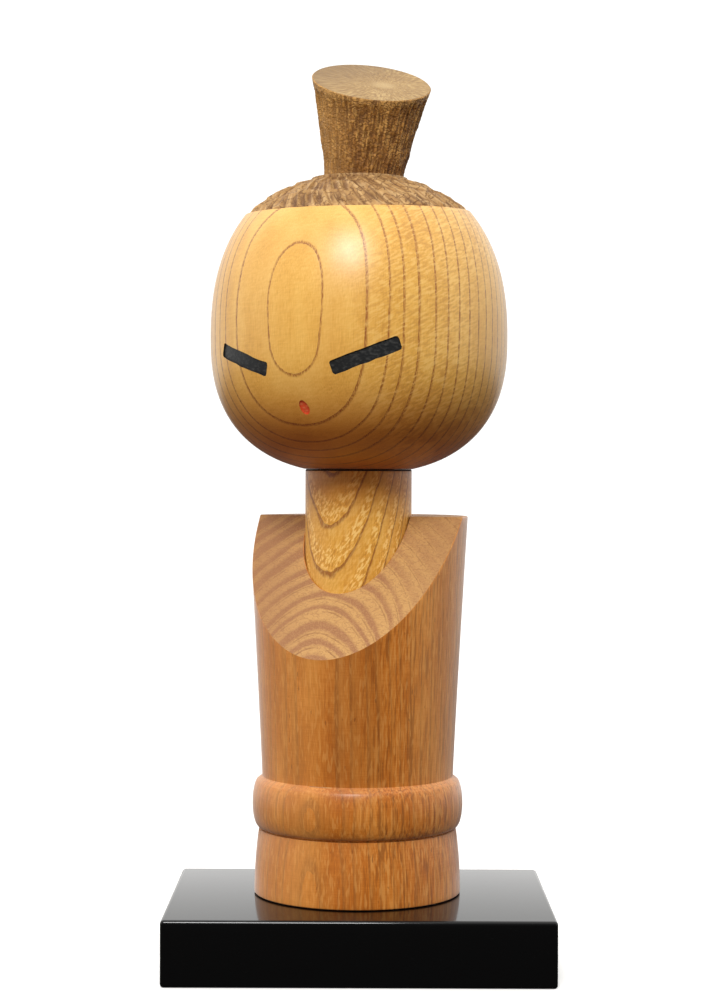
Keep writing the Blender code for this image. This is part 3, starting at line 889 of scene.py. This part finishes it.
def bowHairline(head):
    # lower the hairline over the face and raise it behind, with the side kept in shape
    shape = headShape
    face = facing(headLook["faceYaw"])
    places = points(head)
    around = np.maximum(np.hypot(places[:, 0], places[:, 1]), 1e-9)
    front = places[:, 0] * face.x + places[:, 1] * face.y
    height = places[:, 2].copy()
    low = blendIn(height, hairline - shape["bowReach"], hairline)
    high = 1 - blendIn(height, hairline, crownTop)
    bow = math.tan(math.radians(shape["hairlineBow"]))
    moved = height - bow * front * low * high
    full = headRadiusAt(shape["hairline"])
    below = ((height <= hairline + sliver / 2) & (around > full - shape["hairInset"] / 12)
             & (height > headMiddle))
    hair = (height >= hairline - sliver / 2) & ~below
    fresh = np.array([headRadiusAt(level) for level in moved[below] - headMiddle])
    scale = np.ones(len(places))
    scale[below] = fresh / around[below]
    rim = (hairline - bow * front[hair]) - headMiddle
    rimScale = np.array([headRadiusAt(level) for level in rim]) / full
    scale[hair] = 1 + (rimScale - 1) * high[hair]
    places[:, 0] *= scale
    places[:, 1] *= scale
    places[:, 2] = moved
    setPoints(head, places)


inlayShape = {
    "faceYaw": -23.6,
    "eyeYaw": 26.2,
    "eyeLength": 0.0230,
    "eyeThickness": 0.0046,
    "eyeCorner": 0.0009,
    "leftHeight": -0.0086,  # above the head's widest section
    "rightHeight": -0.0079,
    "leftSlant": 18.2,
    "rightSlant": 21.0,
    "mouthYaw": 1.1,
    "mouthHeight": -0.0240,
    "mouthHalf": (0.00150, 0.00230),
    "mouthTilt": 22.0,
    "mouthTaper": 0.12,  # narrower at its upper end
    "recess": 0.0014,
    "sunk": 0.00045,
    "play": 0.00004,  # keeps a fill clear of its pocket's wall
    "cuts": 8,  # along a bar, each side a little uneven
    "unevenEnds": 0.00012,
    "unevenSides": 0.00016,
    "seeds": (3, 8),
}


def onFace(yaw, level, roll):
    # frame on the head: its Z points out of the face
    spot = facing(yaw) * headRadiusAt(level) + Vector((0, 0, headMiddle + level))
    outward = Matrix.Rotation(math.radians(yaw), 4, "Z") @ Matrix.Rotation(math.pi / 2, 4, "X")
    return Matrix.Translation(spot) @ outward @ Matrix.Rotation(math.radians(roll), 4, "Z")


def barTool(name, size, corner, place, seed):
    # a bar with hand-cut, slightly uneven sides
    pick()
    bpy.ops.mesh.primitive_cube_add(size=1.0)
    tool = named(name)
    tool.scale = size
    bpy.ops.object.transform_apply()
    upright = [edge for edge in tool.data.edges
               if abs(tool.data.vertices[edge.vertices[0]].co.z
                      - tool.data.vertices[edge.vertices[1]].co.z) > size[2] / 2]
    ends = {vertex for edge in upright for vertex in edge.vertices}
    tool.data.vertices.foreach_set("select", [number in ends for number in range(8)])
    tool.data.edges.foreach_set("select", [edge in upright for edge in tool.data.edges])
    tool.data.polygons.foreach_set("select", [False] * 6)
    bpy.context.tool_settings.mesh_select_mode = (False, True, False)
    bpy.ops.object.mode_set(mode="EDIT")
    bpy.ops.mesh.bevel(offset=corner, segments=4)
    editDone()  # so the points keep their order for the random swings
    editAll()
    bpy.ops.mesh.select_mode(type="VERT")
    cuts = inlayShape["cuts"]
    for number in range(1, cuts):  # cross cuts give the long sides points to move
        x = (number / cuts - 0.5) * (size[0] - 2 * corner)
        bpy.ops.mesh.select_all(action="SELECT")
        bpy.ops.mesh.bisect(plane_co=(x, 0, 0), plane_no=(1, 0, 0))
    editDone()
    rng = random.Random(seed)
    uneven = {}
    for vertex in tool.data.vertices:
        key = (round(vertex.co.x * 20000), vertex.co.y > 0)  # one swing for each cut and side
        if key not in uneven:
            uneven[key] = (rng.uniform(-1, 1), rng.uniform(-1, 1))
        swing = uneven[key]
        nearEnd = abs(vertex.co.x) > size[0] / 2 - corner * 1.5
        vertex.co.x += inlayShape["unevenEnds"] * swing[0]
        vertex.co.y += inlayShape["unevenSides"] * swing[1] * (0.4 if nearEnd else 1.0)
    tool.matrix_world = place
    bpy.ops.object.transform_apply()
    return tool


def ovalTool(name, half, depth, place):
    pick()
    bpy.ops.mesh.primitive_cylinder_add(vertices=40, radius=1.0, depth=depth)
    tool = named(name)
    tool.scale = (half[0], half[1], 1.0)
    bpy.ops.object.transform_apply()
    for vertex in tool.data.vertices:
        vertex.co.x *= 1 - inlayShape["mouthTaper"] * vertex.co.y / half[1]
    tool.matrix_world = place
    bpy.ops.object.transform_apply()
    return tool


def makeInlays(head, black, red):
    shape = inlayShape
    floor = lathe("pocketFloor", headOutline(0.8, shape["recess"]), 240)
    skin = lathe("fillSkin", headOutline(1.0, shape["sunk"]), 360)
    core = lathe("fillCore", headOutline(0.8, shape["recess"] - 0.0002), 240)
    face, eye = shape["faceYaw"], shape["eyeYaw"]
    depth = headRadius / 2
    leftSeed, rightSeed = shape["seeds"]
    spots = {
        "eyeLeft": (black, leftSeed, onFace(face - eye, shape["leftHeight"],
                                            -shape["leftSlant"])),
        "eyeRight": (black, rightSeed, onFace(face + eye, shape["rightHeight"],
                                              shape["rightSlant"])),
        "mouthInlay": (red, None, onFace(face + shape["mouthYaw"], shape["mouthHeight"],
                                         shape["mouthTilt"])),
    }
    fills = {}
    for name, (lacquer, seed, place) in spots.items():
        tools = []
        for play in (0.0, shape["play"]):
            if name == "mouthInlay":
                half = [value - play for value in shape["mouthHalf"]]
                tools.append(ovalTool(name, half, depth, place))
            else:
                size = (shape["eyeLength"] - 2 * play, shape["eyeThickness"] - 2 * play, depth)
                tools.append(barTool(name, size, shape["eyeCorner"] - play, place, seed))
        pocket, fill = tools
        pocket.data.materials.append(lacquer)
        cut(pocket, floor, keepTool=True)
        cut(head, pocket)
        cut(fill, skin, "INTERSECT", keepTool=True)
        cut(fill, core, keepTool=True)
        fill.data.materials.clear()
        fill.data.materials.append(lacquer)
        fill.name = name
        smooth(fill, 30)
        fills[name] = fill
    for tool in (floor, skin, core):
        bpy.data.objects.remove(tool)
    return fills


def makeHead():
    head = lathe("headBlock", fullHeadOutline(), headShape["steps"])
    carveHair(head)
    bowHairline(head)
    black = makeInlayLacquer("blackEyeLacquer", lacquerLook["eye"], lacquerLook["eyeWorn"], 0.45)
    red = makeInlayLacquer("redMouthLacquer", lacquerLook["mouth"], lacquerLook["mouthWorn"],
                           0.42)
    head.data.materials.append(makeHeadWood())
    head.data.materials.append(makeCarvedWood("carvedHairWood", hairLook))
    hair = np.empty(len(head.data.vertices), np.float32)
    head.data.attributes["hair"].data.foreach_get("value", hair)
    for polygon in head.data.polygons:
        polygon.material_index = int(all(hair[vertex] > 0.5 for vertex in polygon.vertices))
    fills = makeInlays(head, black, red)
    pick(head)
    editAll()
    bpy.ops.mesh.dissolve_degenerate(threshold=sliver)  # what the pockets leave
    editDone()
    smooth(head, 34)
    standFor(head, "head", "head")
    standFor(fills["eyeLeft"], "head", "eye_left")
    standFor(fills["eyeRight"], "head", "eye_right")
    standFor(fills["mouthInlay"], "head", "mouth")
    print("head, eyes and mouth made:", len(head.data.polygons), "faces")


# Topknot

knotShape = {
    "baseRadius": 0.0135,
    "topRadius": 0.0199,
    "offsetX": 0.0012,
    "lean": 5.0,
    "length": 0.0313,
    "topSlope": 24.4,
    "topTilt": 1.5,
    "flare": 1.25,
    "gap": 0.0003,
    "rim": 0.0021,  # smooth band left under the slanted top
    "fluteWidth": 0.0017,
    "fluteDepth": 0.00085,
    "fluteOverlap": 0.85,  # spacing as a share of the width
    # distance below the rim and length of each row of flutes
    "flutes": ((0.0, 0.013), (0.009, 0.013), (0.019, 0.014), (0.028, 0.014)),
    "chatter": (0.0026, 0.00016),  # size and depth of the small marks
    "spare": 0.004,  # wood below the seat, sawn off level
    "fanSunk": 0.004,  # where the top's strokes fan out from, below it and aside
    "fanAside": 0.004,
    "edge": 0.0003,
    "steps": 420,
    "rows": 120,
    "seed": 4,
}


def makeKnot():
    shape = knotShape
    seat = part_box("head")[1].z + shape["gap"]
    reach = shape["length"] + 2 * shape["topRadius"] * math.tan(math.radians(shape["topSlope"]))
    outline = [(0.0, -shape["spare"]), (shape["baseRadius"], -shape["spare"])]
    for row in range(shape["rows"] + 1):
        height = reach * row / shape["rows"]
        flare = (height / shape["length"]) ** shape["flare"]
        outline.append((shape["baseRadius"] + (shape["topRadius"] - shape["baseRadius"]) * flare,
                        height))
    outline.append((0.0, reach))
    knot = lathe("topknotBlock", outline, shape["steps"])
    # gouge strokes run down from under the rim
    places = points(knot)
    around = np.hypot(places[:, 0], places[:, 1])
    yaw = np.arctan2(places[:, 0], -places[:, 1])
    top = Vector((0, 0, 1))
    top.rotate(Matrix.Rotation(math.radians(shape["topTilt"]), 4, "Y")
               @ Matrix.Rotation(math.radians(shape["topSlope"]), 4, "X"))
    below = (shape["length"] * top.z - places @ np.array(top)) / top.z
    rng = random.Random(shape["seed"])
    depth = np.zeros(len(places))
    ring = 2 * math.pi * shape["topRadius"]
    count = round(ring / (shape["fluteWidth"] * shape["fluteOverlap"]))
    for start, length in shape["flutes"]:
        for number in range(count):
            place = 2 * math.pi * (number + rng.uniform(-0.3, 0.3)) / count
            half = shape["fluteWidth"] * rng.uniform(0.8, 1.25) / 2
            begin = shape["rim"] + start + (rng.uniform(-0.0005, 0.0009) if start == 0.0
                                            else rng.uniform(-0.003, 0.003))
            span = length * rng.uniform(0.8, 1.3)
            bend = rng.uniform(-8, 8)
            turned = yaw - place - bend * (below - begin) * 0.3
            turned = (turned + math.pi) % (2 * math.pi) - math.pi
            across = turned * around / half
            onward = (below - begin) / span
            dish = np.clip(1 - across ** 2, 0, 1) * np.where(
                (onward > 0) & (onward < 1), np.clip(4 * onward, 0, 1) ** 0.5
                * np.clip(1 - onward, 0, 1) ** 0.4, 0)
            deep = shape["fluteDepth"] * rng.uniform(0.6, 1.15)
            depth = np.maximum(depth, deep * dish)
    side = (around > shape["baseRadius"] * 0.9) & (places[:, 2] < reach - 0.00001)
    size, deep = shape["chatter"]
    chatter = np.abs(ripple(places * (1, 1, 2.2), size, 9)) * deep
    chatter = chatter * blendIn(below, shape["rim"], shape["rim"] + 0.001)
    depth = np.where(side, depth + chatter, 0)
    inward = places / np.maximum(around, 1e-9)[:, None] * (1, 1, 0)
    setPoints(knot, places - inward * depth[:, None])
    keepAmount(knot, "carved", np.clip(depth / shape["fluteDepth"], 0, 1))
    wide = shape["topRadius"]
    unrolled = np.stack([wide * np.cos(yaw), wide * np.sin(yaw), below], axis=1)
    keepPlaces(knot, "strokes", unrolled)
    # lean it, then saw the foot level and the top aslant
    lean = Matrix.Rotation(math.radians(shape["lean"]), 4, "Y")
    base = Vector((shape["offsetX"], 0, seat))
    knot.data.transform(Matrix.Translation(base) @ lean)
    pick(knot)
    editAll()
    bpy.ops.mesh.bisect(plane_co=base, plane_no=(0, 0, -1), use_fill=True, clear_outer=True)
    editDone()
    topPoint = base + lean @ Vector((0, 0, shape["length"]))
    topNormal = lean.to_3x3() @ top
    cutFlat(knot, topPoint, topNormal, shape["edge"])
    knot.data.materials.append(makeCarvedWood("carvedKnotWood", knotSideLook))
    fan = topPoint - topNormal * shape["fanSunk"] + Vector((shape["fanAside"], 0, 0))
    knot.data.materials.append(makeKnotTop(fan))
    for polygon in knot.data.polygons:
        if polygon.normal.dot(topNormal) > 0.99:
            polygon.material_index = 1
    smooth(knot, 36)
    standFor(knot, "head", "topknot")
    print("topknot made:", len(knot.data.polygons), "faces")


# Body: foot, bead and column in one turned piece

bodyShape = {
    "footRadius": 0.0343,
    "footTopRadius": 0.0328,
    "footHeight": 0.0213,
    "grooveDepth": 0.0007,
    "grooveHeight": 0.0008,
    "beadRadius": 0.0350,
    "beadEdgeRadius": 0.0332,
    "beadHeight": 0.0152,
    "shoulderRadius": 0.0336,
    "shoulderHeight": 0.0014,
    "waistRadius": 0.0318,
    "columnCurve": 1.10,
    "topRound": 0.0004,
    "footRound": 0.0004,
    "collarYaw": -22.0,
    "collarSlope": 52.6,
    "collarSetBack": 0.0009,
    "socketGap": 0.0003,
    "boreRadius": 0.0023,  # for the screw from below
    "edge": 0.00022,
    "steps": 360,
}


def bodyOutline(low, top, radius, socket):
    shape = bodyShape
    foot, footTop = shape["footRadius"], shape["footTopRadius"]
    easing = shape["footRound"]
    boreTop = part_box("plinth_screw")[1].z + shape["socketGap"]
    rows = [(0.0, boreTop), (shape["boreRadius"], boreTop), (shape["boreRadius"], low)]
    for step in range(5):
        angle = math.radians(90 * step / 4)
        rows.append((foot - easing + easing * math.sin(angle),
                     low + easing - easing * math.cos(angle)))
    for step in range(1, 15):
        share = step / 14
        rows.append((foot - (foot - footTop) * share ** 2,
                     low + easing + (shape["footHeight"] - easing) * share))
    grooveLow = low + shape["footHeight"]
    bead = grooveLow + shape["grooveHeight"]
    groove = footTop - shape["grooveDepth"]
    rows += [(groove + 0.0002, grooveLow + 0.0001), (groove, grooveLow + 0.0003),
             (groove, bead - 0.0002), (groove + 0.0002, bead)]
    half = shape["beadHeight"] / 2
    bulge = shape["beadRadius"] - footTop
    lowSweep = math.acos((shape["beadEdgeRadius"] - footTop) / bulge)
    highSweep = math.acos((shape["shoulderRadius"] - footTop) / bulge)
    for step in range(-12, 13):  # an oval arc, steeper above its middle than below
        sweep = lowSweep if step <= 0 else highSweep
        angle = sweep * step / 12
        rows.append((footTop + bulge * math.cos(angle),
                     bead + half + half / math.sin(sweep) * math.sin(angle)))
    waist = bead + shape["beadHeight"] + shape["shoulderHeight"]
    rows += [(shape["waistRadius"] + 0.0002, waist - 0.00015),
             (shape["waistRadius"], waist + 0.0001)]
    easing = shape["topRound"]
    for step in range(1, 37):
        share = step / 36
        height = waist + (top - waist) * share
        rows.append((shape["waistRadius"] + (radius - shape["waistRadius"])
                     * share ** shape["columnCurve"], min(height, top - easing)))
    for step in range(1, 5):
        angle = math.radians(90 * step / 4)
        rows.append((radius - easing + easing * math.cos(angle),
                     top - easing + easing * math.sin(angle)))
    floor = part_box("neck")[0].z - shape["socketGap"]
    rows += [(socket + 0.0002, top), (socket, top - 0.0002), (socket, floor), (0.0, floor)]
    return rows


def makeBody():
    shape = bodyShape
    low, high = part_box("body")
    socket = halfWidth("neck") + shape["socketGap"]
    body = lathe("bodyTurning", bodyOutline(low.z, high.z, high.x, socket), shape["steps"])
    yaw = shape["collarYaw"]
    slope = math.radians(shape["collarSlope"])
    hinge = Vector((0, 0, high.z)) - facing(yaw) * shape["collarSetBack"]
    outward = facing(yaw) * math.sin(slope) + Vector((0, 0, math.cos(slope)))
    cutFlat(body, hinge, outward, shape["edge"])
    body.data.materials.append(makeBodyWood())
    body.data.materials.append(makeEndGrain())
    for polygon in body.data.polygons:
        level = polygon.normal.z > 0.99 and polygon.center.z > high.z - 0.001
        if polygon.normal.dot(outward) > 0.995 or level:
            polygon.material_index = 1
    smooth(body, 34)
    standFor(body, "doll", "body")
    print("body made:", len(body.data.polygons), "faces")


# Neck

neckShape = {
    "edge": 0.00022,
    "jointLine": 0.0003,  # from the shoulder up to the head
    "seatGap": 0.00005,
    "spigotRadius": 0.0080,
    "steps": 256,
}


def makeNeck():
    low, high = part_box("neck")
    radius, edge = halfWidth("neck"), neckShape["edge"]
    shoulder = headLow.z - neckShape["jointLine"]
    outline = [(0.0, low.z), (radius - edge, low.z), (radius, low.z + edge)]
    outline += [(radius, low.z + edge + (shoulder - low.z - 3 * edge) * row / 20)
                for row in range(1, 20)]
    # the last bit under the head is the joint line
    spigot, seat = neckShape["spigotRadius"], headLow.z - neckShape["seatGap"]
    outline += [(radius, shoulder - edge), (radius - edge / 2, shoulder), (radius - edge, seat),
                (spigot, seat), (spigot, high.z - edge), (spigot - edge, high.z), (0.0, high.z)]
    neck = lathe("neckTurning", outline, neckShape["steps"])
    neck.data.materials.append(makeNeckWood(shoulder, radius))
    smooth(neck, 34)
    standFor(neck, "doll", "neck")
    print("neck made")


# Plinth

plinthShape = {
    "edge": 0.0012,
    "segments": 8,
    "bores": ((0.0075, 0.0080), (0.0023, 0.05)),  # radius and reach: the washer's, the screw's
}


def makePlinth():
    shape = plinthShape
    low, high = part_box("plinth")
    pick()
    bpy.ops.mesh.primitive_cube_add(size=1.0)
    plinth = named("lacqueredPlinth")
    plinth.scale = high - low
    plinth.location = (low + high) / 2
    bpy.ops.object.transform_apply()
    editAll()
    bpy.ops.mesh.bevel(offset=shape["edge"], segments=shape["segments"])
    editDone()
    for radius, reach in shape["bores"]:
        pick()
        bpy.ops.mesh.primitive_cylinder_add(vertices=96, radius=radius, depth=2 * reach)
        cut(plinth, bpy.context.object)
    plinth.data.materials.clear()
    plinth.data.materials.append(makePlinthLacquer())
    smooth(plinth, 30)
    standFor(plinth, "base", "plinth")
    print("plinth made")


def dressFasteners():
    zinc = makeZinc()
    for node in ("plinth_screw", "plinth_washer"):
        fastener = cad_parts[node]
        fastener.data.materials.clear()
        fastener.data.materials.append(zinc)


# Floor, light and camera

studio = {
    "floorSize": 8.0,
    "floorColour": (0.80, 0.79, 0.77),
    "floorShade": 0.97,  # the darker of its two tones
    "floorDust": ((0.05, 0.05, 0.05), 3.0),
    "floorGlow": 0.25,
    "skyColour": (1.0, 0.995, 0.98, 1.0),
    "room": 0.08,
    "wall": 1.05,
    "wallReach": (-0.80, -0.10),  # bright walls, a dim room in front
    "ceiling": 0.35,
    "ceilingReach": (0.2, 0.9),
    "below": 0.06,
    "horizon": (-0.12, -0.06),
    "keyPower": 14.2,
    "keySize": 0.42,
    "keyPlace": (-0.16, -1.00, 1.08),
    "keyTarget": (0, 0, 0.2),
    "fillPower": 2.2,
    "fillSize": 0.60,
    "fillPlace": (-0.45, -1.00, 0.10),
    "fillTarget": (0, 0, 0.15),
    "fillColour": (1.0, 0.74, 0.48),
    "lens": 79.2,
    "sensor": 36,
    "eye": (0.001, -0.733, 0.1635),
    "eyeDown": 0.91,
    "eyeRoll": 0.2,
}


def aim(thing, place, target):
    thing.location = place
    thing.rotation_euler = (Vector(target) - Vector(place)).to_track_quat("-Z", "Y").to_euler()


def softBox(name, power, size, place, target, colour=(1, 1, 1)):
    lamp = bpy.data.lights.new(name, "AREA")
    lamp.shape, lamp.size, lamp.energy = "SQUARE", size, power
    lamp.color = colour
    thing = bpy.data.objects.new(name, lamp)
    bpy.context.scene.collection.objects.link(thing)
    aim(thing, place, target)
    return thing


def makeStudio():
    pick()
    bpy.ops.mesh.primitive_plane_add(size=studio["floorSize"])
    floor = named("studioFloor")
    made, coords = newFinish("paleFloor")
    pale = studio["floorColour"]
    shade = tuple(value * studio["floorShade"] for value in pale)
    dress(made, {"Roughness": 0.7, "Emission Color": (1, 1, 1, 1),
                 "Emission Strength": studio["floorGlow"]},
          coords.noise(*studio["floorDust"]).mix(shade, pale))
    floor.data.materials.append(made)
    floor.visible_diffuse = False  # no glow from below on the wood
    floor.visible_glossy = False  # and no pale floor in the lacquer
    world = bpy.data.worlds.new("studioSky")
    world.use_nodes = True
    background = world.node_tree.nodes["Background"]
    coords = world.node_tree.nodes.new("ShaderNodeTexCoord")
    sky = Wire(world.node_tree, coords.outputs["Generated"])
    upward = sky.dot((0, 0, 1))
    wall = studio["wall"] * sky.dot((0, 1, 0)).step(*studio["wallReach"])
    ceiling = studio["ceiling"] * upward.step(*studio["ceilingReach"])
    above = upward.step(*studio["horizon"])
    light = (studio["room"] + wall + ceiling) * above + studio["below"]
    world.node_tree.links.new(light.socket, background.inputs["Strength"])
    background.inputs["Color"].default_value = studio["skyColour"]
    bpy.context.scene.world = world
    softBox("keyLight", studio["keyPower"], studio["keySize"], studio["keyPlace"],
            studio["keyTarget"])
    fill = softBox("warmFill", studio["fillPower"], studio["fillSize"], studio["fillPlace"],
                   studio["fillTarget"], studio["fillColour"])
    fill.visible_glossy = False
    camera = bpy.data.cameras.new("view")
    camera.lens, camera.sensor_width = studio["lens"], studio["sensor"]
    eye = bpy.data.objects.new("view", camera)
    bpy.context.scene.collection.objects.link(eye)
    eye.matrix_world = (Matrix.Translation(studio["eye"])
                        @ Matrix.Rotation(math.radians(90 - studio["eyeDown"]), 4, "X")
                        @ Matrix.Rotation(math.radians(studio["eyeRoll"]), 4, "Z"))
    bpy.context.scene.camera = eye
    bpy.context.scene.view_settings.view_transform = "Standard"
    print("studio made")


makeStudio()
makePlinth()
dressFasteners()
makeBody()
makeNeck()
makeHead()
makeKnot()
